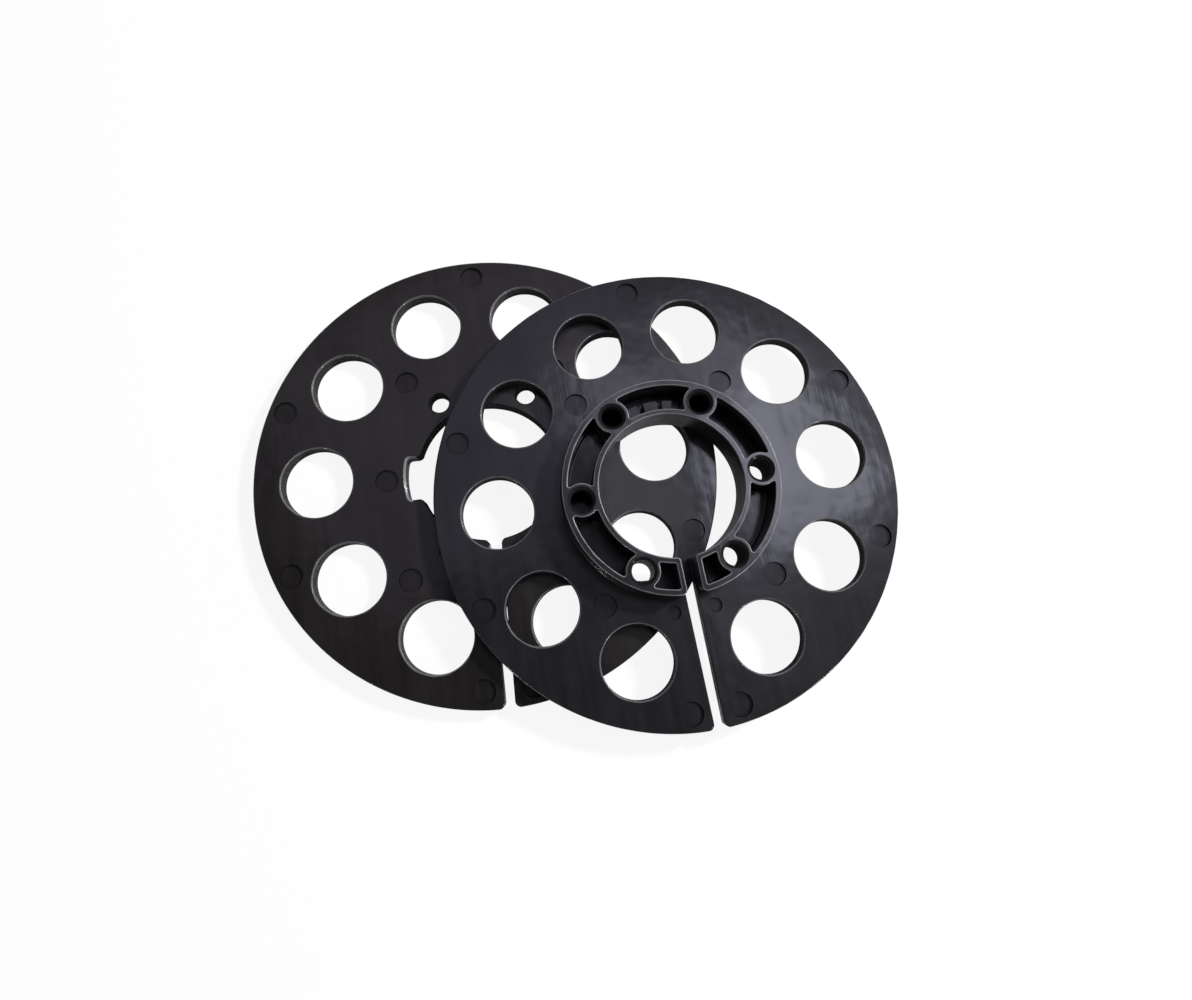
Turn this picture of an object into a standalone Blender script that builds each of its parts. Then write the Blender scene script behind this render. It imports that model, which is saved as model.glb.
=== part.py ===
"""Two moulded plastic flanges of a roll reel, loose, one lying on the other.

The keyed flange is a flat disc with a central opening and two key notches. The hub flange lies on top
of it, moved to one side: the same disc with a low C-shaped hub that carries six screw bosses. A narrow
slot runs from the rim of each disc into its centre. Metres, +Z up, the keyed flange's underside at z = 0
and the origin halfway between the two discs' centres. Every disc is drawn about its own centre with its
slot towards -Y, then turned and moved to where it lies.
"""

import math

import bmesh
import bpy

# The disc, which both flanges share. The slot's half widths are at the rim and at the opening.
DISC_RADIUS = 0.0803
PLATE_THICKNESS = 0.0045
KEYED_PLATE_THICKNESS = 0.0052
OPENING_RADIUS = 0.0244
SLOT_HALF_WIDTHS = (0.00165, 0.00205)
RIM_CORNER = 0.0020

# Ten round holes, evenly spaced but for a wider gap where the slot passes between the first and last.
HOLE_COUNT = 10
HOLE_RADIUS = 0.0122
HOLE_CIRCLE_RADIUS = 0.0590
HOLE_PITCH = 35.15

# Screw holes, on the same circle on both flanges.
SCREW_CIRCLE_RADIUS = 0.0307
PLATE_SCREW_RADIUS = 0.0034
PLATE_SCREW_ANGLES = (60, 120, 240, 300)

# Key notches of the keyed flange.
NOTCH_HALF_WIDTH = 0.0075
NOTCH_RADIUS = 0.0288
SHOULDER = 0.0020
NOTCH_ANGLES = (180, 0)

# The hub: an outer and an inner wall, closed at the slot by end walls, with bosses across the channel.
HUB_RADIUS = 0.0369
HUB_RISE = 0.0075
OUTER_WALL = 0.0021
INNER_WALL = 0.0019
HUB_BORE_RADIUS = OPENING_RADIUS + 0.0001
END_HALF_GAP = 0.0025
END_HALF_GAPS = (END_HALF_GAP, END_HALF_GAP)
END_WALL = 0.0018
HUB_OUTER_CORNER = 0.0018
HUB_INNER_CORNER = 0.0012
CHANNEL_FLOOR = 0.0020
BOSS_RADIUS = 0.0056
BOSS_HOLE_RADIUS = 0.0037
COUNTERSINK_RADIUS = 0.0048
BOSS_ANGLES = (300, 0, 60, 120, 180, 240)
BORE_CORNER = 0.0002

# The two mouldings' blacks, one slightly warm and one slightly cool.
WARM_BLACK = (0.021, 0.020, 0.021)
COOL_BLACK = (0.023, 0.023, 0.026)
PLASTIC_ROUGHNESS = 0.38

# Where the discs lie: the vector from the keyed flange's centre to the hub flange's, and the gap between.
CENTRE_STEP_X = 0.0600
CENTRE_STEP_Y = -0.0185
KEYED_FLANGE_TURN = -3.8
REST_GAP = 0.0003

# Straight sides that stand for a full circle, and for a small corner.
RIM_SIDES = 120
OPENING_SIDES = 60
HOLE_SIDES = 28
SCREW_SIDES = 16
CORNER_SIDES = 4
MERGE_DISTANCE = 0.000001

SLOT_DIRECTION = 270.0


def polar(radius, degrees, centre=(0.0, 0.0)):
    """The point at a distance and a direction from a centre."""
    angle = math.radians(degrees)
    return (centre[0] + radius * math.cos(angle), centre[1] + radius * math.sin(angle))


def arc(radius, start, end, sides, centre=(0.0, 0.0)):
    """Points along an arc, both ends included."""
    return [polar(radius, start + (end - start) * i / sides, centre) for i in range(sides + 1)]


def arc_sides(start, end, full_circle):
    """How many sides an arc takes where a full circle has so many."""
    return max(1, round(abs(end - start) / 360.0 * full_circle))


def circle(radius, sides, centre=(0.0, 0.0)):
    """Points round a full circle."""
    return [polar(radius, 360.0 * i / sides, centre) for i in range(sides)]


def turned(points, degrees):
    """The points turned about the disc's centre."""
    angle = math.radians(degrees)
    cos, sin = math.cos(angle), math.sin(angle)
    return [(cos * x - sin * y, sin * x + cos * y) for x, y in points]


def mirrored(points):
    """The points on the slot's other side, in the opposite order."""
    return [(-x, y) for x, y in reversed(points)]


def rim_corner(rim_radius, half_width, corner):
    """The round corner where the slot's right side meets the rim, from the slot to the rim."""
    x = half_width + corner
    y = -math.sqrt((rim_radius - corner) ** 2 - x**2)
    return arc(corner, 180.0, 360.0 + math.degrees(math.atan2(y, x)), CORNER_SIDES, (x, y))


def opening_shoulder(opening_radius, half_width, corner):
    """The round shoulder where a slot's right side meets the opening, from the opening to the slot."""
    x = half_width + corner
    y = -math.sqrt((opening_radius + corner) ** 2 - x**2)
    return arc(corner, math.degrees(math.atan2(-y, -x)), 180.0, CORNER_SIDES, (x, y))


def key_notch(opening_radius):
    """A key notch towards -Y, from its right shoulder round to its left one."""
    right = opening_shoulder(opening_radius, NOTCH_HALF_WIDTH, SHOULDER)
    half_angle = math.degrees(math.asin(NOTCH_HALF_WIDTH / NOTCH_RADIUS))
    back = arc(NOTCH_RADIUS, SLOT_DIRECTION + half_angle, SLOT_DIRECTION - half_angle, 2 * CORNER_SIDES)
    return right + back + mirrored(right)


def slotted_disc(rim_radius, opening_radius, half_widths, corner, shoulder, sides, notches=()):
    """The one closed outline of a disc that a slot opens from its rim to its central opening.

    The slot's half widths are given at the rim and at the opening."""
    right_corner = rim_corner(rim_radius, half_widths[0], corner)
    right_shoulder = opening_shoulder(opening_radius, half_widths[1], shoulder)
    start = math.degrees(math.atan2(right_corner[-1][1], right_corner[-1][0]))
    rim = arc(rim_radius, start, 180.0 - start, sides)
    outline = right_corner + rim[1:-1] + mirrored(right_corner) + mirrored(right_shoulder)
    x, y = outline[-1]
    angle = math.degrees(math.atan2(y, x)) % 360.0
    last = math.degrees(math.atan2(right_shoulder[0][1], right_shoulder[0][0]))
    for notch_angle in notches:
        notch = turned(key_notch(opening_radius), notch_angle - SLOT_DIRECTION)
        half_mouth = notch_half_mouth(opening_radius)
        entry = notch_angle + half_mouth
        outline += arc(opening_radius, angle, entry, arc_sides(angle, entry, OPENING_SIDES))[1:-1] + notch
        angle = notch_angle - half_mouth
    outline += arc(opening_radius, angle, last, arc_sides(angle, last, OPENING_SIDES))[1:-1]
    return outline + right_shoulder


def notch_half_mouth(opening_radius):
    """Half the angle that a key notch takes out of the opening's circle, in degrees."""
    return math.degrees(math.asin((NOTCH_HALF_WIDTH + SHOULDER) / (opening_radius + SHOULDER)))


def round_holes():
    """The outlines of the ten large holes, starting beside the slot."""
    first = SLOT_DIRECTION + (360.0 - HOLE_PITCH * (HOLE_COUNT - 1)) / 2
    centres = [polar(HOLE_CIRCLE_RADIUS, first + HOLE_PITCH * i) for i in range(HOLE_COUNT)]
    return [circle(HOLE_RADIUS, HOLE_SIDES, centre) for centre in centres]


def screw_holes(radius, angles):
    """The outlines of the screw holes at the given angles."""
    return [circle(radius, SCREW_SIDES, polar(SCREW_CIRCLE_RADIUS, angle)) for angle in angles]


def boss_side(boss_angle, turn, inner_radius, outer_radius):
    """A boss's round side in the channel, from the inner wall to the outer; turn is +1 anticlockwise."""
    ends = []
    for wall_radius in (inner_radius, outer_radius):
        cosine = (wall_radius**2 + SCREW_CIRCLE_RADIUS**2 - BOSS_RADIUS**2) / (
            2 * wall_radius * SCREW_CIRCLE_RADIUS
        )
        x = wall_radius * cosine - SCREW_CIRCLE_RADIUS
        y = wall_radius * math.sqrt(1.0 - cosine**2)
        ends.append(math.degrees(math.atan2(y, x)))
    side = arc(BOSS_RADIUS, turn * ends[0], turn * ends[1], 2 * CORNER_SIDES, (SCREW_CIRCLE_RADIUS, 0.0))
    return turned(side, boss_angle)


def end_wall_side(turn, inner_radius, outer_radius):
    """An end wall's straight side in the channel, from the inner wall to the outer."""
    x = turn * (END_HALF_GAP + END_WALL)
    return [(x, -math.sqrt(radius**2 - x**2)) for radius in (inner_radius, outer_radius)]


def channel_pocket(first_side, second_side, inner_radius, outer_radius):
    """One closed pocket of the channel, anticlockwise from its first side to its second."""

    def wall(start, end, radius):
        angles = [math.degrees(math.atan2(y, x)) % 360.0 for x, y in (start, end)]
        sweep = (angles[1] - angles[0] + 180.0) % 360.0 - 180.0
        return arc(radius, angles[0], angles[0] + sweep, arc_sides(0, sweep, OPENING_SIDES))[1:-1]

    inner = wall(first_side[0], second_side[0], inner_radius)
    outer = wall(second_side[-1], first_side[-1], outer_radius)
    return inner + second_side + outer + first_side[::-1]


def channel_pockets():
    """The seven pockets of the hub's channel, between its end walls and its bosses."""
    inner_radius = HUB_BORE_RADIUS + INNER_WALL
    outer_radius = HUB_RADIUS - OUTER_WALL
    starts = [end_wall_side(1, inner_radius, outer_radius)]
    starts += [boss_side(angle, 1, inner_radius, outer_radius) for angle in BOSS_ANGLES]
    ends = [boss_side(angle, -1, inner_radius, outer_radius) for angle in BOSS_ANGLES]
    ends += [end_wall_side(-1, inner_radius, outer_radius)]
    return [channel_pocket(a, b, inner_radius, outer_radius) for a, b in zip(starts, ends)]


class Solid:
    """A solid put together from upright walls and level faces that share their outlines."""

    def __init__(self):
        self.bm = bmesh.new()

    def ring(self, outline, height):
        """A closed ring of vertices at a height."""
        return [self.bm.verts.new((x, y, height)) for x, y in outline]

    def wall(self, low_outline, low, high_outline, high):
        """Faces between two outlines with the same number of points."""
        bottom = self.ring(low_outline, low)
        top = self.ring(high_outline, high)
        for i in range(len(bottom)):
            j = (i + 1) % len(bottom)
            self.bm.faces.new((bottom[i], bottom[j], top[j], top[i]))

    def face(self, outlines, height):
        """A level face inside the first outline and outside the others."""
        edges = []
        for outline in outlines:
            ring = self.ring(outline, height)
            edges += [self.bm.edges.new((ring[i - 1], ring[i])) for i in range(len(ring))]
        bmesh.ops.triangle_fill(self.bm, use_beauty=True, edges=edges)

    def finish(self, name, material, location, turn):
        """The solid as a closed object, placed by its location and its turn about Z."""
        bmesh.ops.remove_doubles(self.bm, verts=self.bm.verts, dist=MERGE_DISTANCE)
        bmesh.ops.recalc_face_normals(self.bm, faces=self.bm.faces)
        mesh = bpy.data.meshes.new(name)
        self.bm.to_mesh(mesh)
        self.bm.free()
        mesh.shade_smooth()
        mesh.set_sharp_from_angle(angle=math.radians(30.0))
        mesh.materials.append(material)
        piece = bpy.data.objects.new(name, mesh)
        piece.location = location
        piece.rotation_euler = (0.0, 0.0, math.radians(turn))
        bpy.context.scene.collection.objects.link(piece)
        return piece


def black_plastic(name, colour):
    """Moulded black plastic with a soft gloss."""
    material = bpy.data.materials.new(name)
    material.use_nodes = True
    shader = material.node_tree.nodes["Principled BSDF"]
    shader.inputs["Base Color"].default_value = (*colour, 1.0)
    shader.inputs["Roughness"].default_value = PLASTIC_ROUGHNESS
    shader.inputs["Metallic"].default_value = 0.0
    return material


def keyed_flange(location, turn):
    """The flat disc with the two key notches in its opening."""
    outline = slotted_disc(
        DISC_RADIUS, OPENING_RADIUS, SLOT_HALF_WIDTHS, RIM_CORNER, SHOULDER, RIM_SIDES, NOTCH_ANGLES
    )
    outlines = [outline] + round_holes() + screw_holes(PLATE_SCREW_RADIUS, PLATE_SCREW_ANGLES)
    solid = Solid()
    for height in (0.0, KEYED_PLATE_THICKNESS):
        solid.face(outlines, height)
    for edge in outlines:
        solid.wall(edge, 0.0, edge, KEYED_PLATE_THICKNESS)
    return solid.finish("keyed_flange", black_plastic("black_plastic_warm", WARM_BLACK), location, turn)


def hub_flange(location, turn):
    """The disc with the hub: its bore, channel, bosses and through screw holes are one moulding."""
    hub_top = PLATE_THICKNESS + HUB_RISE
    countersink_foot = hub_top - (COUNTERSINK_RADIUS - BOSS_HOLE_RADIUS)
    plate = slotted_disc(
        DISC_RADIUS, OPENING_RADIUS, SLOT_HALF_WIDTHS, RIM_CORNER, BORE_CORNER, RIM_SIDES
    )
    hub = slotted_disc(
        HUB_RADIUS, HUB_BORE_RADIUS, END_HALF_GAPS, HUB_OUTER_CORNER, HUB_INNER_CORNER, OPENING_SIDES
    )
    holes = round_holes()
    bores = screw_holes(BOSS_HOLE_RADIUS, BOSS_ANGLES)
    mouths = screw_holes(COUNTERSINK_RADIUS, BOSS_ANGLES)
    pockets = channel_pockets()
    solid = Solid()
    solid.face([plate] + holes + bores, 0.0)
    for edge in [plate] + holes:
        solid.wall(edge, 0.0, edge, PLATE_THICKNESS)
    solid.face([plate] + holes + [hub], PLATE_THICKNESS)
    solid.wall(hub, PLATE_THICKNESS, hub, hub_top)
    for pocket in pockets:
        solid.face([pocket], CHANNEL_FLOOR)
        solid.wall(pocket, CHANNEL_FLOOR, pocket, hub_top)
    for bore, mouth in zip(bores, mouths):
        solid.wall(bore, 0.0, bore, countersink_foot)
        solid.wall(bore, countersink_foot, mouth, hub_top)
    solid.face([hub] + pockets + mouths, hub_top)
    return solid.finish("hub_flange", black_plastic("black_plastic_cool", COOL_BLACK), location, turn)


def clear_scene():
    """Empty the scene before the model is made."""
    for piece in list(bpy.data.objects):
        bpy.data.objects.remove(piece, do_unlink=True)


def main():
    clear_scene()
    half_x = CENTRE_STEP_X / 2
    half_y = CENTRE_STEP_Y / 2
    keyed_flange((-half_x, -half_y, 0.0), KEYED_FLANGE_TURN)
    hub_flange((half_x, half_y, KEYED_PLATE_THICKNESS + REST_GAP), 0.0)


main()
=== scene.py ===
"""The looks of two loose flanges of a roll reel, moulded in black plastic, one lying on the other.

Each flange is made again at full fineness about its own centre, with its slot towards -Y: rounded edges,
wall feet, countersinks, moulding marks and its own black. It is then put where the frame's node lies.
Metres, +Z up.
"""

import math

import bpy
import numpy as np
from mathutils import Matrix, Vector, geometry

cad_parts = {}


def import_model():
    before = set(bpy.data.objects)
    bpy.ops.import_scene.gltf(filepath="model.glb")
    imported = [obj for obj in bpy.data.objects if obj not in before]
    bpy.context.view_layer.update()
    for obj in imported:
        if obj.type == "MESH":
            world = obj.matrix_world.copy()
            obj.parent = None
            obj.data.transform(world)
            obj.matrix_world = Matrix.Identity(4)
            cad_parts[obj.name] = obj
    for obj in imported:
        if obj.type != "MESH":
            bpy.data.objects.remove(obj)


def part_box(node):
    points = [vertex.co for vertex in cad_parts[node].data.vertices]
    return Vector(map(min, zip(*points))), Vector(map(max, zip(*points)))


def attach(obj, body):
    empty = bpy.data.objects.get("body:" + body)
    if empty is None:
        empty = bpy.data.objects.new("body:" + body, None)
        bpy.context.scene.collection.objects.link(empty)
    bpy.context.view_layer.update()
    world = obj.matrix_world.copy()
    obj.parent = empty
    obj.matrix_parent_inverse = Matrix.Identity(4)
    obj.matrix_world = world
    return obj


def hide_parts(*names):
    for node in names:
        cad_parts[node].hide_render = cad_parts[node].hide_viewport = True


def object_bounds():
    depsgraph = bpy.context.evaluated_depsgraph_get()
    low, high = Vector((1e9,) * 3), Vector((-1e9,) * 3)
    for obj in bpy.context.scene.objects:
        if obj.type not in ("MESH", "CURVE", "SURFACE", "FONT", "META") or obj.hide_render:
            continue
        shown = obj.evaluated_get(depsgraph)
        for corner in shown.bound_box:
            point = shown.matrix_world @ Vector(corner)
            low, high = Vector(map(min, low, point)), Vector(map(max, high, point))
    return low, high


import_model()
cad_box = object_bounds()

# The disc, which both flanges share.
DISC_RADIUS = 0.0803
PLATE_THICKNESS = 0.0045
KEYED_PLATE_THICKNESS = 0.0052
OPENING_RADIUS = 0.0244
SLOT_HALF_WIDTHS = (0.00165, 0.00205)
SLOT_DIRECTION = 270.0
RIM_CORNER = 0.0020
KEYED_FLANGE_TURN = -3.8

# Ten round holes, evenly spaced but for a wider gap where the slot passes between the first and last.
HOLE_COUNT = 10
HOLE_RADIUS = 0.0122
HOLE_CIRCLE_RADIUS = 0.0590
HOLE_PITCH = 35.15

# Screw holes, on the same circle on both flanges.
SCREW_CIRCLE_RADIUS = 0.0307
PLATE_SCREW_RADIUS = 0.0034
PLATE_SCREW_ANGLES = (60, 120, 240, 300)

# Key notches of the keyed flange.
NOTCH_HALF_WIDTH = 0.0075
NOTCH_RADIUS = 0.0288
NOTCH_CORNER = 0.0014
SHOULDER = 0.0020
NOTCH_ANGLES = (180, 0)

# The hub: an outer and an inner wall, closed at the slot by end walls, with bosses across the channel.
HUB_RADIUS = 0.0369
HUB_TOP = 0.0120
OUTER_WALL = 0.0021
INNER_WALL = 0.0019
HUB_BORE_RADIUS = OPENING_RADIUS + 0.0001
CHANNEL_INNER_RADIUS = HUB_BORE_RADIUS + INNER_WALL
CHANNEL_OUTER_RADIUS = HUB_RADIUS - OUTER_WALL
END_HALF_GAP = 0.0025
END_HALF_GAPS = (END_HALF_GAP, END_HALF_GAP)
END_WALL = 0.0018
HUB_OUTER_CORNER = 0.0018
HUB_INNER_CORNER = 0.0012
CHANNEL_FLOOR = 0.0020
CHANNEL_FILLET = 0.0006
BOSS_RADIUS = 0.0058
BOSS_HOLE_RADIUS = 0.0037
COUNTERSINK = 0.0010
COUNTERSINK_DEPTH = 0.0006
BOSS_ANGLES = (-60, 0, 60, 120, 180, 240)
BORE_CORNER = 0.0002

# Low pads on the channel's floor between two bosses: the angles of their sides, and their radii.
PAD_ANGLES = ((77.0, 84.0), (87.0, 96.5), (100.5, 109.0))
PAD_RADII = (CHANNEL_INNER_RADIUS + 0.0008, CHANNEL_INNER_RADIUS + 0.0046)
PAD_TOP = 0.0075
PAD_CORNER = 0.0007
PAD_EDGE = 0.0002

# The pocket that has the pads, counted from 0 anticlockwise from the slot.
PADDED_POCKET = 3

# Round marks left by the ejector pins: each pin's radius, its distance from the centre and its angles.
PIN_RADIUS = 0.0040
SMALL_PIN_RADIUS = 0.0024
RIM_PINS = (PIN_RADIUS, 0.0744, (90.0, 22.5, 157.5, 337.0, 203.0, 263.7, 276.3))
UPPER_PINS = (PIN_RADIUS, 0.0440, (53.5, 126.5))
LOWER_PINS = (PIN_RADIUS, 0.0456, (230.2, 309.8))
SIDE_PINS = (PIN_RADIUS, 0.0352, (0.0, 180.0))
SLOT_PINS = (SMALL_PIN_RADIUS, 0.0420, (260.4, 279.6))
MARK_DEPTH = 0.00080
MARK_SLOPE = 0.00006
MARK_EDGE = 0.00004

# How edges and feet are rounded.
TOP_EDGE = 0.00048
BOTTOM_EDGE = 0.00030
BORE_EDGE = 0.00005
HUB_EDGE = 0.00038
FOOT = 0.00050
TIGHT_FOOT = 0.00003
CHANNEL_FOOT = 0.00045
FINE_EDGE = 0.00012
DRAFT = 0.012

# An edge's radius varies by this share with each of three waves along it. They run along X, along Y and
# aslant, and are given in radians a metre.
UNEVENNESS = 0.08
UNEVEN_WAVES = (1250.0, 1010.0, 430.0)

# The bevel of the keyed flange's upper edge, and the share of it that is left away from the notches.
BEVEL_WIDTH = 0.00075
BEVEL_DEPTH = 0.00050
LEAST_BEVEL = 0.40

# Where looks and edges change along an outline, as a distance from the centre at which each change
# starts and one at which it ends: into and out of a notch's deep part, out of the opening's wall, out of
# the bore's wall, and from the hub's inner wall to its outer wall.
INTO_NOTCH = (0.0262, 0.0284)
OUT_OF_NOTCH = (0.0295, 0.0310)
OUT_OF_OPENING = (0.0255, 0.0275)
OUT_OF_BORE = (0.0255, 0.0280)
INNER_TO_OUTER_WALL = (0.030, 0.035)

# The hub's foot is tight at the slot. It grows again over these distances to the side, or these along Y.
BESIDE_SLOT = (0.003, 0.008)
BEYOND_SLOT = (-0.020, -0.010)

# How rough a face is, from 0 where it is polished to 2 where it is rough; above 1 its colour is also
# painted towards black as shade.
RECESS = 1.0
# Recess sides: rough, and painted almost black as shade.
RECESS_SIDE = 2.0
# Hole walls: rough, and painted darker as shade.
ROUGH_SHADED_WALL = 1.85

# How far upper edges are painted grey as a highlight, from 0 to 1, and how many strips of faces such an
# edge has.
HUB_PAINTED_HIGHLIGHT = 1.0
HOLE_PAINTED_HIGHLIGHT = 0.50
EDGE_STRIPS = 5

# Fineness: the longest side on an arc, and the most that it turns from one side to the next.
LONGEST_SIDE = 0.0009
MOST_TURN = 9.0
SECTION_TURN = 18.0

# Softened corners: the points on each, and how straight a corner may be to stay as it is.
SOFT_POINTS = 7
STRAIGHT = 0.8

# How far a wall's section runs on into the level faces beside it, only to give their direction.
FAR = 0.0010

# The plastic: its roughness, how far that varies, the grey painted on upper edges as a highlight and the
# black painted in recesses as shade.
PLASTIC_ROUGHNESS = 0.42
ROUGHNESS_SPREAD = 0.09
PAINTED_HIGHLIGHT_GREY = (0.13, 0.13, 0.14)
PAINTED_SHADE_BLACK = (0.0005, 0.0005, 0.0005)

# The camera, about 0.22 m above the flanges and towards their near side, looking nearly straight down.
CAMERA_PLACE = (-0.01254, -0.04962, 0.22410)
CAMERA_TURN = (11.461, -2.447, -10.711)
CAMERA_LENS = 19.356
CAMERA_SENSOR = 36.0
CAMERA_CLIP = (0.005, 20.0)

# The floor, and how much of it is an even white: to other light, and to the camera.
FLOOR_DROP = 0.0002
FLOOR_HALF_SIDE = 2.0
FLOOR_GREY = 0.85
FLOOR_ROUGHNESS = 0.8
FLOOR_WHITENESS = (0.05, 0.9)

# The room: how far off low lamps stand, and how bright the room is to the flanges and to the camera.
LAMP_DISTANCE = 1.20
ROOM_COLOUR = (0.95, 0.97, 1.0)
ROOM_LIGHT = 0.012
ROOM_LOOK = 0.75


def polar(radius, degrees, centre=(0.0, 0.0)):
    """The point at a distance and a direction from a centre."""
    angle = math.radians(degrees)
    return (centre[0] + radius * math.cos(angle), centre[1] + radius * math.sin(angle))


def direction(point):
    """The direction of a point from the disc's centre, in degrees."""
    return math.degrees(math.atan2(point[1], point[0]))


def arc(radius, start, end, centre=(0.0, 0.0)):
    """Points along an arc, both ends included."""
    turn = abs(end - start)
    sides = max(1, math.ceil(turn / MOST_TURN), math.ceil(radius * math.radians(turn) / LONGEST_SIDE))
    return [polar(radius, start + (end - start) * i / sides, centre) for i in range(sides + 1)]


def short_arc(radius, start, end, centre):
    """An arc that takes the short way round from one direction to the other."""
    return arc(radius, start, start + (end - start + 180.0) % 360.0 - 180.0, centre)


def round_hole(radius, centre):
    """A hole's outline, clockwise, so that the material is on its left."""
    return arc(radius, 360.0, 0.0, centre)[:-1]


def turned(points, degrees):
    """The points turned about the disc's centre."""
    angle = math.radians(degrees)
    cos, sin = math.cos(angle), math.sin(angle)
    return [(cos * x - sin * y, sin * x + cos * y) for x, y in points]


def mirrored(points):
    """The points on the slot's other side, in the opposite order."""
    return [(-x, y) for x, y in reversed(points)]


def rim_corner(rim_radius, half_width, corner):
    """The round corner where the slot's right side meets the rim, from the slot to the rim."""
    x = half_width + corner
    y = -math.sqrt((rim_radius - corner) ** 2 - x**2)
    return arc(corner, 180.0, 360.0 + direction((x, y)), (x, y))


def opening_shoulder(opening_radius, half_width, corner):
    """The round shoulder where a slot's right side meets the opening, from the opening to the slot."""
    x = half_width + corner
    y = -math.sqrt((opening_radius + corner) ** 2 - x**2)
    return arc(corner, direction((-x, -y)), 180.0, (x, y))


def key_notch(opening_radius):
    """A key notch towards -Y, from its right shoulder round to its left one."""
    x = NOTCH_HALF_WIDTH - NOTCH_CORNER
    y = -math.sqrt((NOTCH_RADIUS - NOTCH_CORNER) ** 2 - x**2)
    half_angle = direction((x, y)) + 90.0
    right = opening_shoulder(opening_radius, NOTCH_HALF_WIDTH, SHOULDER)
    right += arc(NOTCH_CORNER, 0.0, direction((x, y)), (x, y))
    back = arc(NOTCH_RADIUS, SLOT_DIRECTION + half_angle, SLOT_DIRECTION - half_angle)
    return right + back[1:-1] + mirrored(right)


def notch_half_mouth(opening_radius):
    """Half the angle that a key notch takes out of the opening's circle, in degrees."""
    return math.degrees(math.asin((NOTCH_HALF_WIDTH + SHOULDER) / (opening_radius + SHOULDER)))


def slotted_disc(rim_radius, opening_radius, half_widths, corner, shoulder, notches=()):
    """The one anticlockwise outline of a disc that a slot opens from its rim to its central opening.

    The slot's half widths are given at the rim and at the opening."""
    right_corner = rim_corner(rim_radius, half_widths[0], corner)
    right_shoulder = opening_shoulder(opening_radius, half_widths[1], shoulder)
    start = direction(right_corner[-1])
    rim = arc(rim_radius, start, 180.0 - start)
    outline = right_corner + rim[1:-1] + mirrored(right_corner) + mirrored(right_shoulder)
    angle = direction(outline[-1]) % 360.0
    for notch_angle in notches:
        notch = turned(key_notch(opening_radius), notch_angle - SLOT_DIRECTION)
        half_mouth = notch_half_mouth(opening_radius)
        outline += arc(opening_radius, angle, notch_angle + half_mouth)[1:-1] + notch
        angle = notch_angle - half_mouth
    outline += arc(opening_radius, angle, direction(right_shoulder[0]))[1:-1]
    return outline + right_shoulder


def large_holes():
    """The ten large holes, starting beside the slot."""
    first = SLOT_DIRECTION + (360.0 - HOLE_PITCH * (HOLE_COUNT - 1)) / 2
    centres = [polar(HOLE_CIRCLE_RADIUS, first + HOLE_PITCH * i) for i in range(HOLE_COUNT)]
    return [Outline(round_hole(HOLE_RADIUS, centre)) for centre in centres]


def screw_holes(radius, angles):
    """Holes of one radius on the screw circle."""
    return [Outline(round_hole(radius, polar(SCREW_CIRCLE_RADIUS, angle))) for angle in angles]


def pin_marks(pin_groups):
    """The outlines of the ejector pins' marks."""
    marks = []
    for radius, distance, angles in pin_groups:
        marks += [Outline(round_hole(radius, polar(distance, angle))) for angle in angles]
    return marks


def boss_side(boss_angle, turn):
    """A boss's side in the channel with its two fillets, from the inner wall to the outer wall.

    turn is +1 for the boss's anticlockwise side and -1 for its clockwise side."""
    boss = (SCREW_CIRCLE_RADIUS, 0.0)
    reach = BOSS_RADIUS + CHANNEL_FILLET
    fillets = []
    for radius in (CHANNEL_INNER_RADIUS + CHANNEL_FILLET, CHANNEL_OUTER_RADIUS - CHANNEL_FILLET):
        cosine = (radius**2 + SCREW_CIRCLE_RADIUS**2 - reach**2) / (2 * radius * SCREW_CIRCLE_RADIUS)
        fillets.append(polar(radius, turn * math.degrees(math.acos(cosine))))
    inner, outer = fillets
    from_boss = [direction((x - boss[0], y)) for x, y in fillets]
    side = short_arc(CHANNEL_FILLET, direction(inner) + 180.0, from_boss[0] + 180.0, inner)
    side += short_arc(BOSS_RADIUS, from_boss[0], from_boss[1], boss)[1:-1]
    side += short_arc(CHANNEL_FILLET, from_boss[1] + 180.0, direction(outer), outer)
    return turned(side, boss_angle)


def end_wall_side(turn):
    """An end wall's side in the channel with its two fillets; turn is +1 on the slot's right."""
    x = turn * (END_HALF_GAP + END_WALL + CHANNEL_FILLET)
    level = 90.0 + turn * 90.0
    radii = (CHANNEL_INNER_RADIUS + CHANNEL_FILLET, CHANNEL_OUTER_RADIUS - CHANNEL_FILLET)
    inner, outer = [(x, -math.sqrt(radius**2 - x**2)) for radius in radii]
    side = short_arc(CHANNEL_FILLET, direction(inner) + 180.0, level, inner)
    return side + short_arc(CHANNEL_FILLET, level, direction(outer), outer)


def ring_sector(first_side, second_side, inner_radius, outer_radius):
    """The clockwise outline of a part of a ring, between two sides that run from inside outwards."""

    def wall(start, end, radius):
        return short_arc(radius, direction(start), direction(end), (0.0, 0.0))[1:-1]

    inner = wall(first_side[0], second_side[0], inner_radius)
    outer = wall(second_side[-1], first_side[-1], outer_radius)
    return inner + second_side + outer + first_side[::-1]


def channel_pockets():
    """The seven pockets of the hub's channel, anticlockwise from the slot."""
    starts = [end_wall_side(1)] + [boss_side(angle, 1) for angle in BOSS_ANGLES]
    ends = [boss_side(angle, -1) for angle in BOSS_ANGLES] + [end_wall_side(-1)]
    radii = (CHANNEL_INNER_RADIUS, CHANNEL_OUTER_RADIUS)
    return [Outline(ring_sector(start, end, *radii)) for start, end in zip(starts, ends)]


def floor_pads():
    """The pads on the channel's floor, anticlockwise, so that the material is inside."""
    pads = []
    for angles in PAD_ANGLES:
        start, end = [[polar(radius, angle) for radius in PAD_RADII] for angle in angles]
        pads.append(Outline(softened(ring_sector(start, end, *PAD_RADII)[::-1], PAD_CORNER)))
    return pads


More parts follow.
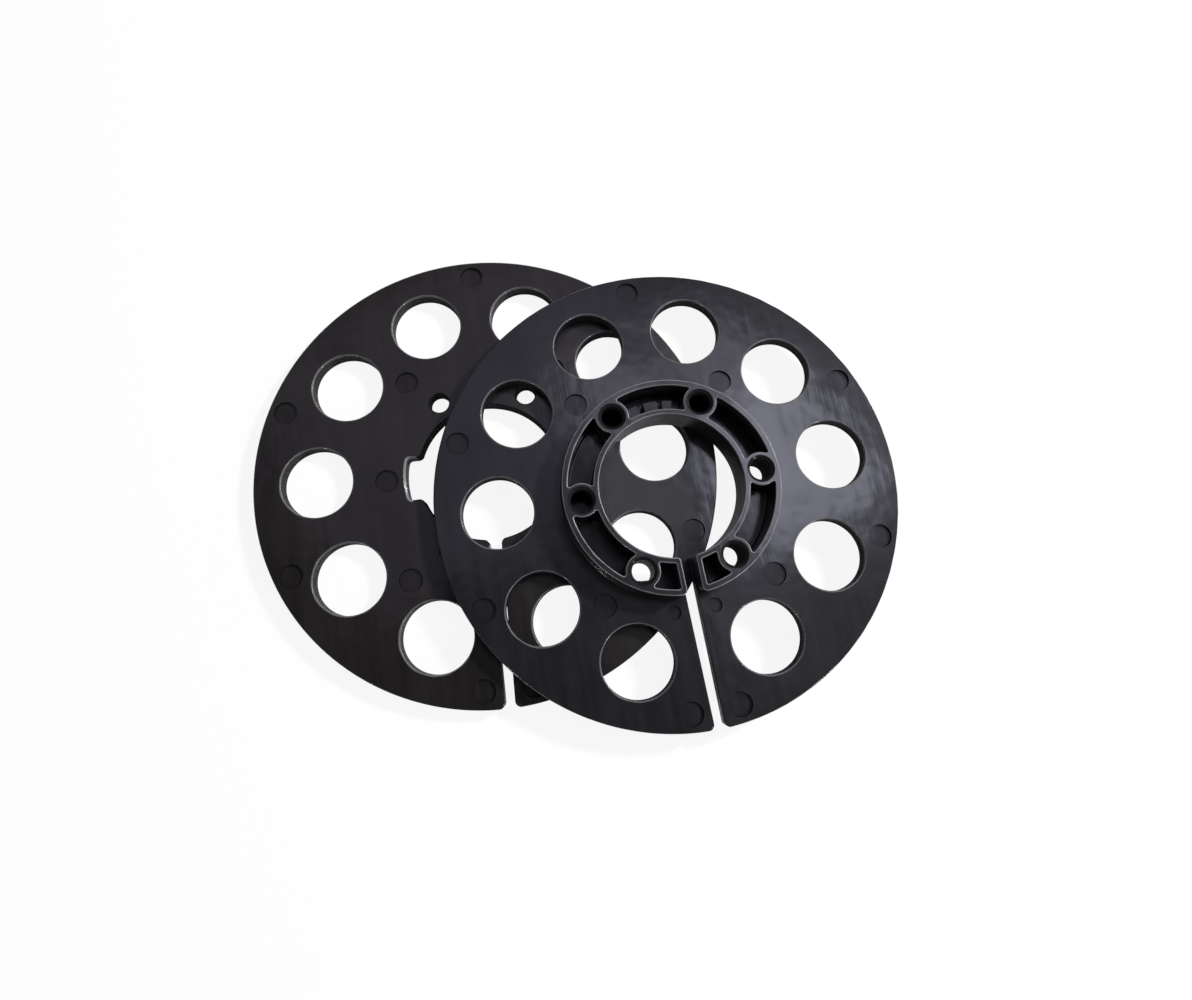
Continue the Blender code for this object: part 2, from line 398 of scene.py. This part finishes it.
def softened(points, radius):
    """A closed outline with each sharp corner cut back by a curve."""
    points = np.array(points)
    soft = []
    for before, point, after in zip(np.roll(points, 1, 0), points, np.roll(points, -1, 0)):
        arrive = (point - before) / np.linalg.norm(point - before)
        leave = (after - point) / np.linalg.norm(after - point)
        if arrive @ leave > STRAIGHT:
            soft.append(point)
            continue
        for share in np.linspace(0.0, 1.0, SOFT_POINTS):
            first = point - arrive * radius * (1.0 - share)
            second = point + leave * radius * share
            soft.append(first * (1.0 - share) + second * share)
    return soft


def growing(value, start, end):
    """0 up to the start, 1 from the end on, and a smooth rise between."""
    share = np.clip((value - start) / (end - start), 0.0, 1.0)
    return share * share * (3.0 - 2.0 * share)


class Outline:
    """A closed line in the plane with the material on its left."""

    def __init__(self, points):
        self.points = np.array(points)
        ahead = np.roll(self.points, -1, axis=0) - self.points
        ahead /= np.linalg.norm(ahead, axis=1)[:, None]
        along = ahead + np.roll(ahead, 1, axis=0)
        along /= np.linalg.norm(along, axis=1)[:, None]
        self.out = np.column_stack((along[:, 1], -along[:, 0]))
        self.stretch = 1.0 / np.sum(ahead * along, axis=1)
        self.radius = np.linalg.norm(self.points, axis=1)

    def uneven(self, size):
        """An edge radius that varies a little along the line, as a moulding's does."""
        x, y = self.points.T
        along_x, along_y, aslant = UNEVEN_WAVES
        wave = np.sin(along_x * x + 0.7) + np.sin(along_y * y + 2.1) + np.sin(aslant * (x - y))
        return size * (1.0 + UNEVENNESS * wave)


def leading(value):
    """The value itself, or the first of a row of values."""
    return float(np.ravel(value)[0])


def section(*corners):
    """Steps over a wall's rounded cross-section: (inset, height, share out, share up) at each.

    A corner is (inset into the material, height, radius); the two end points only give directions.
    Each may have one value for the whole outline or one for each of its points.
    """
    steps = []
    for before, corner, after in zip(corners, corners[1:], corners[2:]):
        arrive, leave = [
            math.atan2(leading(end[1] - start[1]), leading(end[0] - start[0]))
            for start, end in ((before, corner), (corner, after))
        ]
        turn = (leave - arrive + math.pi) % math.tau - math.pi
        radius = np.asarray(corner[2])
        back = radius * math.tan(abs(turn) / 2)
        reach = math.copysign(1.0, turn) * radius
        sides = math.ceil(abs(math.degrees(turn)) / SECTION_TURN)
        for i in range(sides + 1):
            angle = arrive + turn * i / sides
            inset = corner[0] - math.cos(arrive) * back + reach * (math.sin(angle) - math.sin(arrive))
            height = corner[1] - math.sin(arrive) * back + reach * (math.cos(arrive) - math.cos(angle))
            steps.append((inset, height, math.sin(angle), math.cos(angle)))
    return steps


class Surface:
    """A closed surface made of rings of points, where each point has its own normal.

    Each face has how rough it is, which above 1 also paints it darker as shade, and how far it is painted
    grey as a highlight."""

    def __init__(self):
        self.places = []
        self.normals = []
        self.faces = []
        self.dullness_and_shade = []
        self.painted_highlights = []
        self.count = 0

    def ring(self, outline, inset, height, out, up):
        """A ring of points at an inset and a height, facing out and up by the given shares."""
        number = len(outline.points)
        flat = outline.points - outline.out * (outline.stretch * inset)[:, None]
        self.places.append(np.column_stack((flat, np.broadcast_to(height, number))))
        self.normals.append(np.column_stack((outline.out * out, np.full(number, up))))
        self.count += number
        return np.arange(self.count - number, self.count)

    def add_faces(self, faces, dull_and_shade, painted_highlight=0.0):
        """Faces, with one value of each look for all of them or one for each."""
        self.faces += faces
        self.dullness_and_shade += np.broadcast_to(dull_and_shade, len(faces)).tolist()
        self.painted_highlights += np.broadcast_to(painted_highlight, len(faces)).tolist()

    def wall(self, outline, steps, dull_and_shade=0.0, painted_highlight=0.0):
        """Faces along a wall over the steps of its section. Gives its lowest and highest ring.

        Only the wall's upper edge gets the painted highlight, and where it has it, it is polished and has
        no painted shade."""
        rings = [self.ring(outline, *step) for step in steps]
        edge = len(rings) - 1 - EDGE_STRIPS
        for number, (low, high) in enumerate(zip(rings, rings[1:])):
            quads = np.column_stack((low, np.roll(low, -1), np.roll(high, -1), high))
            highlight_share = np.asarray(painted_highlight if number >= edge else 0.0)
            self.add_faces(quads.tolist(), np.where(highlight_share > 0.0, 0.0, dull_and_shade), highlight_share)
        return rings[0], rings[-1]

    def level(self, rings, up, dull_and_shade=0.0):
        """The level faces inside the first ring and outside the others, facing up or down."""
        places = np.concatenate(self.places)
        indices = np.concatenate(rings)
        loops = [[Vector(places[i]) for i in ring] for ring in rings]
        for triangle in geometry.tessellate_polygon(loops):
            corners = indices[list(triangle)]
            a, b, c = places[corners, :2]
            twice_area = (b[0] - a[0]) * (c[1] - a[1]) - (b[1] - a[1]) * (c[0] - a[0])
            if (twice_area > 0) != (up > 0):
                corners = corners[::-1]
            self.add_faces([corners.tolist()], dull_and_shade)

    def finish(self, name, material):
        """The surface as an object about its disc's centre."""
        mesh = bpy.data.meshes.new(name)
        mesh.from_pydata(np.concatenate(self.places).tolist(), [], self.faces)
        mesh.shade_smooth()
        mesh.normals_split_custom_set_from_vertices(np.concatenate(self.normals).tolist())
        mesh.attributes.new("dull_and_shade", "FLOAT", "FACE").data.foreach_set("value", self.dullness_and_shade)
        mesh.attributes.new("painted_highlight", "FLOAT", "FACE").data.foreach_set("value", self.painted_highlights)
        mesh.materials.append(material)
        piece = bpy.data.objects.new(name, mesh)
        bpy.context.scene.collection.objects.link(piece)
        return piece


def through_wall(outline, top, bottom_edge, top_edge, low=0.0):
    """The section of an upright wall between two level faces, with both its edges rounded."""
    return section(
        (FAR, low, 0.0),
        (0.0, low, outline.uneven(1.0) * bottom_edge),
        (0.0, top, outline.uneven(1.0) * top_edge),
        (FAR, top, 0.0),
    )


def bevelled_wall(outline, top, bottom_edge, share):
    """The section of an upright wall whose upper edge is bevelled, fully where the share is 1."""
    return section(
        (FAR, 0.0, 0.0),
        (0.0, 0.0, bottom_edge),
        (0.0, top - BEVEL_DEPTH * share, FINE_EDGE * share),
        (BEVEL_WIDTH * share, top, FINE_EDGE * share),
        (BEVEL_WIDTH * share + FAR, top, 0.0),
    )


def standing_wall(outline, foot_height, top, foot, top_edge):
    """The section of a wall that rises from a level floor, with a slight draft and a round foot."""
    return section(
        (-FAR, foot_height, 0.0),
        (-DRAFT * (top - foot_height), foot_height, foot),
        (0.0, top, outline.uneven(1.0) * top_edge),
        (FAR, top, 0.0),
    )


def mark_wall(height):
    """The section of a shallow round recess with a steep side."""
    return section(
        (-FAR, height - MARK_DEPTH, 0.0),
        (-MARK_SLOPE, height - MARK_DEPTH, MARK_EDGE),
        (0.0, height, MARK_EDGE),
        (FAR, height, 0.0),
    )


def countersunk_wall():
    """The section of a boss's screw hole, with its countersink at the hub's top."""
    return section(
        (FAR, 0.0, 0.0),
        (0.0, 0.0, BOTTOM_EDGE),
        (0.0, HUB_TOP - COUNTERSINK_DEPTH, FINE_EDGE),
        (COUNTERSINK, HUB_TOP, FINE_EDGE),
        (COUNTERSINK + FAR, HUB_TOP, 0.0),
    )


def lower_and_upper(rings):
    """The lowest rings and the highest rings of several walls, from the pairs that the walls gave."""
    lows, highs = zip(*rings)
    return list(lows), list(highs)


def plate_holes(surface, holes, thickness, painted_highlight):
    """The walls of holes through a plate. Gives their lower and their upper rings."""
    rings = []
    for hole in holes:
        steps = through_wall(hole, thickness, BOTTOM_EDGE, TOP_EDGE)
        # Hole walls are painted darker as shade, and their upper edges painted grey as a highlight.
        rings.append(surface.wall(hole, steps, ROUGH_SHADED_WALL, painted_highlight))
    return lower_and_upper(rings)


def sink_marks(surface, marks, height):
    """Cuts the marks into a level face and gives the rings that the face goes round."""
    rims = []
    for mark in marks:
        # The marks' sides are painted almost black as shade.
        low, high = surface.wall(mark, mark_wall(height), RECESS_SIDE)
        surface.level([low], 1, RECESS)
        rims.append(high)
    return rims


def sink_channel(surface):
    """The hub's channel with its pads. Gives the rings that the hub's top goes round."""
    pads = []
    for pad in floor_pads():
        steps = standing_wall(pad, CHANNEL_FLOOR, PAD_TOP, PAD_EDGE, PAD_EDGE)
        pads.append(surface.wall(pad, steps, RECESS))
    pad_feet, pad_tops = lower_and_upper(pads)
    for top in pad_tops:
        surface.level([top], 1, RECESS)
    rims = []
    for number, pocket in enumerate(channel_pockets()):
        steps = standing_wall(pocket, CHANNEL_FLOOR, HUB_TOP, CHANNEL_FOOT, HUB_EDGE)
        # The pockets' upper edges are painted grey as a highlight.
        low, high = surface.wall(pocket, steps, 0.0, HUB_PAINTED_HIGHLIGHT)
        surface.level([low] + (pad_feet if number == PADDED_POCKET else []), 1, RECESS)
        rims.append(high)
    return rims


def keyed_flange():
    """The flat disc with the two key notches in its opening."""
    surface = Surface()
    plate = Outline(
        slotted_disc(DISC_RADIUS, OPENING_RADIUS, SLOT_HALF_WIDTHS, RIM_CORNER, SHOULDER, NOTCH_ANGLES)
    )
    in_notch = growing(plate.radius, *INTO_NOTCH) * (1.0 - growing(plate.radius, *OUT_OF_NOTCH))
    in_opening = 1.0 - growing(plate.radius, *OUT_OF_OPENING)
    bevel = LEAST_BEVEL + (1.0 - LEAST_BEVEL) * in_notch
    steps = bevelled_wall(plate, KEYED_PLATE_THICKNESS, BOTTOM_EDGE, bevel)
    # The opening's wall is painted almost black as shade, and the notches' bevels are painted grey as a
    # highlight.
    low, high = surface.wall(plate, steps, RECESS_SIDE * in_opening, in_notch)
    hole_lows, hole_highs = plate_holes(surface, large_holes(), KEYED_PLATE_THICKNESS, HOLE_PAINTED_HIGHLIGHT)
    screws = screw_holes(PLATE_SCREW_RADIUS, PLATE_SCREW_ANGLES)
    screw_lows, screw_highs = plate_holes(surface, screws, KEYED_PLATE_THICKNESS, 0.0)
    pins = pin_marks((RIM_PINS, UPPER_PINS, LOWER_PINS, SIDE_PINS))
    marks = sink_marks(surface, pins, KEYED_PLATE_THICKNESS)
    surface.level([low] + hole_lows + screw_lows, -1)
    surface.level([high] + hole_highs + screw_highs + marks, 1)
    return surface.finish("keyed_flange_moulding", warm_black())


def hub_flange():
    """The disc with the hub: its bore, channel, bosses and through screw holes are one moulding."""
    surface = Surface()
    plate = Outline(
        slotted_disc(DISC_RADIUS, OPENING_RADIUS, SLOT_HALF_WIDTHS, RIM_CORNER, BORE_CORNER)
    )
    clear_of_bore = growing(plate.radius, *OUT_OF_BORE)
    bottom_edge = BORE_EDGE + (BOTTOM_EDGE - BORE_EDGE) * clear_of_bore
    top_edge = BORE_EDGE + (TOP_EDGE - BORE_EDGE) * clear_of_bore
    low, high = surface.wall(plate, through_wall(plate, PLATE_THICKNESS, bottom_edge, top_edge))
    hole_lows, hole_highs = plate_holes(surface, large_holes(), PLATE_THICKNESS, HOLE_PAINTED_HIGHLIGHT)
    hub = Outline(
        slotted_disc(HUB_RADIUS, HUB_BORE_RADIUS, END_HALF_GAPS, HUB_OUTER_CORNER, HUB_INNER_CORNER)
    )
    x, y = hub.points.T
    clear_of_slot = np.maximum(growing(np.abs(x), *BESIDE_SLOT), growing(y, *BEYOND_SLOT))
    foot = TIGHT_FOOT + (FOOT - TIGHT_FOOT) * growing(hub.radius, *INNER_TO_OUTER_WALL) * clear_of_slot
    steps = standing_wall(hub, PLATE_THICKNESS, HUB_TOP, foot, HUB_EDGE)
    # The hub's upper edges are painted grey as a highlight.
    hub_low, hub_high = surface.wall(hub, steps, 0.0, HUB_PAINTED_HIGHLIGHT)
    pocket_rims = sink_channel(surface)
    bores = screw_holes(BOSS_HOLE_RADIUS, BOSS_ANGLES)
    # The screw holes' walls are painted darker as shade.
    bore_rings = [surface.wall(bore, countersunk_wall(), ROUGH_SHADED_WALL) for bore in bores]
    bore_lows, bore_highs = lower_and_upper(bore_rings)
    pins = pin_marks((RIM_PINS, UPPER_PINS, LOWER_PINS, SLOT_PINS))
    marks = sink_marks(surface, pins, PLATE_THICKNESS)
    surface.level([low] + hole_lows + bore_lows, -1)
    surface.level([high] + hole_highs + [hub_low] + marks, 1)
    surface.level([hub_high] + pocket_rims + bore_highs, 1)
    return surface.finish("hub_flange_moulding", cool_black())


class Nodes:
    """The nodes of one material. A value that is another node's output is linked."""

    def __init__(self, name):
        self.material = bpy.data.materials.new(name)
        self.material.use_nodes = True
        self.tree = self.material.node_tree
        self.shader = self.tree.nodes["Principled BSDF"]

    def fill(self, node, values):
        """Sets or links a node's inputs."""
        for key, value in values.items():
            if isinstance(value, bpy.types.NodeSocket):
                self.tree.links.new(value, node.inputs[key])
            else:
                node.inputs[key].default_value = value

    def add(self, kind, values, **settings):
        """A new node with its inputs and settings."""
        node = self.tree.nodes.new("ShaderNode" + kind)
        for key, value in settings.items():
            setattr(node, key, value)
        self.fill(node, values)
        return node

    def math(self, operation, first, second=0.0):
        """A calculation with one or two values."""
        return self.add("Math", {0: first, 1: second}, operation=operation).outputs[0]

    def noise(self, vector, scale, detail, roughness):
        """Smooth noise, from 0 to 1."""
        values = {"Vector": vector, "Scale": scale, "Detail": detail, "Roughness": roughness}
        return self.add("TexNoise", values).outputs["Fac"]

    def span(self, value, low, high, new_low, new_high):
        """A value carried from the range low to high over to the range new_low to new_high."""
        values = {"Value": value, 1: low, 2: high, 3: new_low, 4: new_high}
        return self.add("MapRange", values).outputs["Result"]

    def mix(self, share, first, second):
        """A colour between two others."""
        values = {"Factor": share, 6: first, 7: second}
        return self.add("Mix", values, data_type="RGBA").outputs[2]

    def bump(self, height, distance, strength, below=None):
        """A surface that a height roughens, on top of the one below."""
        values = {"Height": height, "Distance": distance, "Strength": strength}
        if below is not None:
            values["Normal"] = below
        return self.add("Bump", values).outputs["Normal"]


def black_plastic(name, dark, light):
    """Moulded black plastic: glossy in patches and streaks, rough and painted dark as shade in recesses
    and on hole walls, and painted grey as a highlight along upper edges.
    """
    nodes = Nodes(name)
    place = nodes.add("TexCoord", {}).outputs["Object"]
    cloud = nodes.noise(place, scale=38.0, detail=3.0, roughness=0.5)
    drawn_out = nodes.add("Mapping", {"Vector": place, "Scale": (1.0, 0.07, 1.0)}).outputs[0]
    streaks = nodes.noise(drawn_out, scale=260.0, detail=3.0, roughness=0.6)
    blotch = nodes.noise(place, scale=130.0, detail=3.0, roughness=0.6)
    fine = nodes.noise(place, scale=2200.0, detail=2.0, roughness=0.6)
    mottle = nodes.math("ADD", nodes.math("MULTIPLY", cloud, 0.5), nodes.math("MULTIPLY", streaks, 0.5))
    tone = nodes.span(mottle, 0.38, 0.62, 0.0, 1.0)
    dull_and_shade = nodes.add("Attribute", {}, attribute_name="dull_and_shade").outputs["Fac"]
    black = nodes.mix(tone, (*dark, 1.0), (*light, 1.0))
    # Painted shade: recess sides and hole walls are darkened towards black, and they are also made
    # rougher.
    painted_shade_and_roughness = nodes.span(dull_and_shade, RECESS, RECESS_SIDE, 0.0, 0.9)
    painted_highlight = nodes.add("Attribute", {}, attribute_name="painted_highlight").outputs["Fac"]
    # Painted highlight: upper edges are lightened towards grey.
    with_painted_highlight = nodes.mix(painted_highlight, black, (*PAINTED_HIGHLIGHT_GREY, 1.0))
    colour = nodes.mix(painted_shade_and_roughness, with_painted_highlight, (*PAINTED_SHADE_BLACK, 1.0))
    uneven = nodes.math("ADD", nodes.math("MULTIPLY", streaks, 0.6), nodes.math("MULTIPLY", blotch, 0.4))
    smoothest = PLASTIC_ROUGHNESS - ROUGHNESS_SPREAD
    roughest = PLASTIC_ROUGHNESS + ROUGHNESS_SPREAD
    roughness = nodes.span(uneven, 0.35, 0.65, smoothest, roughest)
    roughness = nodes.math("ADD", roughness, nodes.math("MULTIPLY", painted_shade_and_roughness, 0.5))
    polish = nodes.span(dull_and_shade, 0.0, RECESS_SIDE, 1.0, 0.0)
    upright_place = nodes.add("Mapping", {"Vector": place, "Scale": (1.0, 1.0, 0.08)}).outputs[0]
    drag = nodes.noise(upright_place, scale=1600.0, detail=3.0, roughness=0.7)
    normal = nodes.add("NewGeometry", {}).outputs["True Normal"]
    facing_up = nodes.add("SeparateXYZ", {"Vector": normal}).outputs[2]
    upright = nodes.span(nodes.math("ABSOLUTE", facing_up), 0.2, 0.6, 1.0, 0.0)
    surface = nodes.bump(cloud, distance=0.0010, strength=0.60)
    surface = nodes.bump(streaks, distance=0.00006, strength=0.9, below=surface)
    surface = nodes.bump(fine, distance=0.00002, strength=0.3, below=surface)
    wall_drag = nodes.math("MULTIPLY", drag, upright)
    surface = nodes.bump(wall_drag, distance=0.00010, strength=0.5, below=surface)
    nodes.fill(nodes.shader, {"Base Color": colour, "Roughness": roughness, "Normal": surface, "IOR": 1.5})
    nodes.fill(nodes.shader, {"Coat Weight": polish, "Coat Roughness": 0.15, "Coat Normal": surface})
    return nodes.material


def warm_black():
    """The keyed flange's plastic."""
    return black_plastic("keyed_flange_plastic", (0.0070, 0.0060, 0.0056), (0.0108, 0.0095, 0.0088))


def cool_black():
    """The hub flange's plastic."""
    return black_plastic("hub_flange_plastic", (0.0060, 0.0057, 0.0072), (0.0094, 0.0091, 0.0112))


def put_in_place(piece, node, turn):
    """Puts a flange where its CAD node lies, and lets it stand for the node."""
    low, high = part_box(node)
    piece.location = ((low.x + high.x) / 2, high.y - DISC_RADIUS, low.z)
    piece.data.transform(Matrix.Rotation(math.radians(turn), 4, "Z"))
    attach(piece, node)
    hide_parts(node)


def floor():
    """A plain white floor just under the flanges."""
    mesh = bpy.data.meshes.new("floor")
    signs = ((-1, -1), (1, -1), (1, 1), (-1, 1))
    corners = [(FLOOR_HALF_SIDE * x, FLOOR_HALF_SIDE * y, 0.0) for x, y in signs]
    mesh.from_pydata(corners, [], [(0, 1, 2, 3)])
    nodes = Nodes("floor_white")
    seen = nodes.add("LightPath", {}).outputs["Is Camera Ray"]
    grey = (FLOOR_GREY, FLOOR_GREY, FLOOR_GREY, 1.0)
    nodes.fill(nodes.shader, {"Base Color": grey, "Roughness": FLOOR_ROUGHNESS})
    white = nodes.add("Emission", {"Color": (1.0, 1.0, 1.0, 1.0), "Strength": 1.0}).outputs[0]
    share = nodes.span(seen, 0.0, 1.0, *FLOOR_WHITENESS)
    both = nodes.add("MixShader", {0: share, 1: nodes.shader.outputs[0], 2: white}).outputs[0]
    nodes.tree.links.new(both, nodes.tree.nodes["Material Output"].inputs["Surface"])
    mesh.materials.append(nodes.material)
    piece = bpy.data.objects.new("floor", mesh)
    piece.location = (0.0, 0.0, cad_box[0].z - FLOOR_DROP)
    bpy.context.scene.collection.objects.link(piece)


def panel(name, place, size, radiance, colour=(1.0, 1.0, 1.0)):
    """A soft rectangular light that faces the flanges, with the sizes of its two sides."""
    light = bpy.data.lights.new(name, "AREA")
    light.shape = "RECTANGLE"
    light.size, light.size_y = size
    light.energy = radiance * math.pi * size[0] * size[1]
    light.color = colour
    lamp = bpy.data.objects.new(name, light)
    lamp.location = place
    lamp.rotation_euler = (-Vector(place)).to_track_quat("-Z", "Y").to_euler()
    bpy.context.scene.collection.objects.link(lamp)
    return lamp


def low_place(azimuth, elevation):
    """A place well off to one side, seen from the flanges in the given direction."""
    across, height = polar(LAMP_DISTANCE, elevation)
    return (*polar(across, azimuth), height)


def lights():
    """Lamps overhead to the right, a dim ceiling and walls, and windows low on the right and in front.

    The daylight lights the plastic but isn't seen in its reflections; the window beside it is."""
    panel("lamp", (0.450, 0.185, 1.0), (0.30, 0.25), 4.3, (0.80, 0.82, 1.0))
    panel("lamp_glow", (0.62, 0.12, 1.0), (0.16, 0.16), 0.4, (0.80, 0.82, 1.0))
    panel("second_lamp", (0.38, 0.41, 1.0), (0.24, 0.14), 1.6, (0.84, 0.81, 1.0))
    panel("third_lamp", (0.15, 0.38, 1.0), (0.15, 0.13), 1.8, (0.90, 0.84, 1.0))
    panel("near_lamp", (0.16, 0.15, 1.0), (0.15, 0.10), 0.8, (0.90, 0.88, 1.0))
    panel("near_edge", (0.32, -0.06, 1.0), (0.30, 0.10), 0.4, (0.80, 0.80, 1.0))
    panel("ceiling", (-0.12, 0.38, 1.0), (0.75, 0.55), 0.27, (0.78, 0.74, 1.0))
    panel("far_wall", low_place(90.0, 25.0), (0.60, 0.60), 0.6, (0.78, 0.75, 1.0))
    panel("left_wall", low_place(198.0, 25.0), (0.60, 0.60), 0.15, (1.0, 0.94, 0.86))
    daylight = panel("daylight", low_place(19.0, 35.0), (0.13, 0.13), 480.0, (1.0, 0.96, 0.93))
    daylight.visible_glossy = False
    panel("window", low_place(19.0, 33.0), (0.13, 0.13), 30.0, (1.0, 0.97, 0.98))
    panel("low_glow", low_place(12.0, 13.0), (0.50, 0.26), 5.0)
    panel("front_window", low_place(-46.0, 30.0), (0.11, 0.11), 70.0)
    panel("left_window", low_place(-140.0, 26.0), (0.12, 0.10), 45.0)


def world():
    """A dim room, which looks pale where the camera sees straight into it."""
    room = bpy.data.worlds.new("room")
    room.use_nodes = True
    tree = room.node_tree
    background = tree.nodes["Background"]
    background.inputs["Color"].default_value = (*ROOM_COLOUR, 1.0)
    seen = tree.nodes.new("ShaderNodeLightPath")
    strength = tree.nodes.new("ShaderNodeMapRange")
    strength.inputs["To Min"].default_value = ROOM_LIGHT
    strength.inputs["To Max"].default_value = ROOM_LOOK
    tree.links.new(seen.outputs["Is Camera Ray"], strength.inputs["Value"])
    tree.links.new(strength.outputs["Result"], background.inputs["Strength"])
    bpy.context.scene.world = room


def camera():
    """The camera, which sees both flanges from above."""
    data = bpy.data.cameras.new("camera")
    data.sensor_width = CAMERA_SENSOR
    data.lens = CAMERA_LENS
    data.clip_start, data.clip_end = CAMERA_CLIP
    viewer = bpy.data.objects.new("camera", data)
    viewer.location = CAMERA_PLACE
    viewer.rotation_euler = [math.radians(angle) for angle in CAMERA_TURN]
    bpy.context.scene.collection.objects.link(viewer)
    bpy.context.scene.camera = viewer


def main():
    camera()
    put_in_place(keyed_flange(), "keyed_flange", KEYED_FLANGE_TURN)
    put_in_place(hub_flange(), "hub_flange", 0.0)
    floor()
    lights()
    world()
    bpy.context.scene.view_settings.view_transform = "Standard"


main()
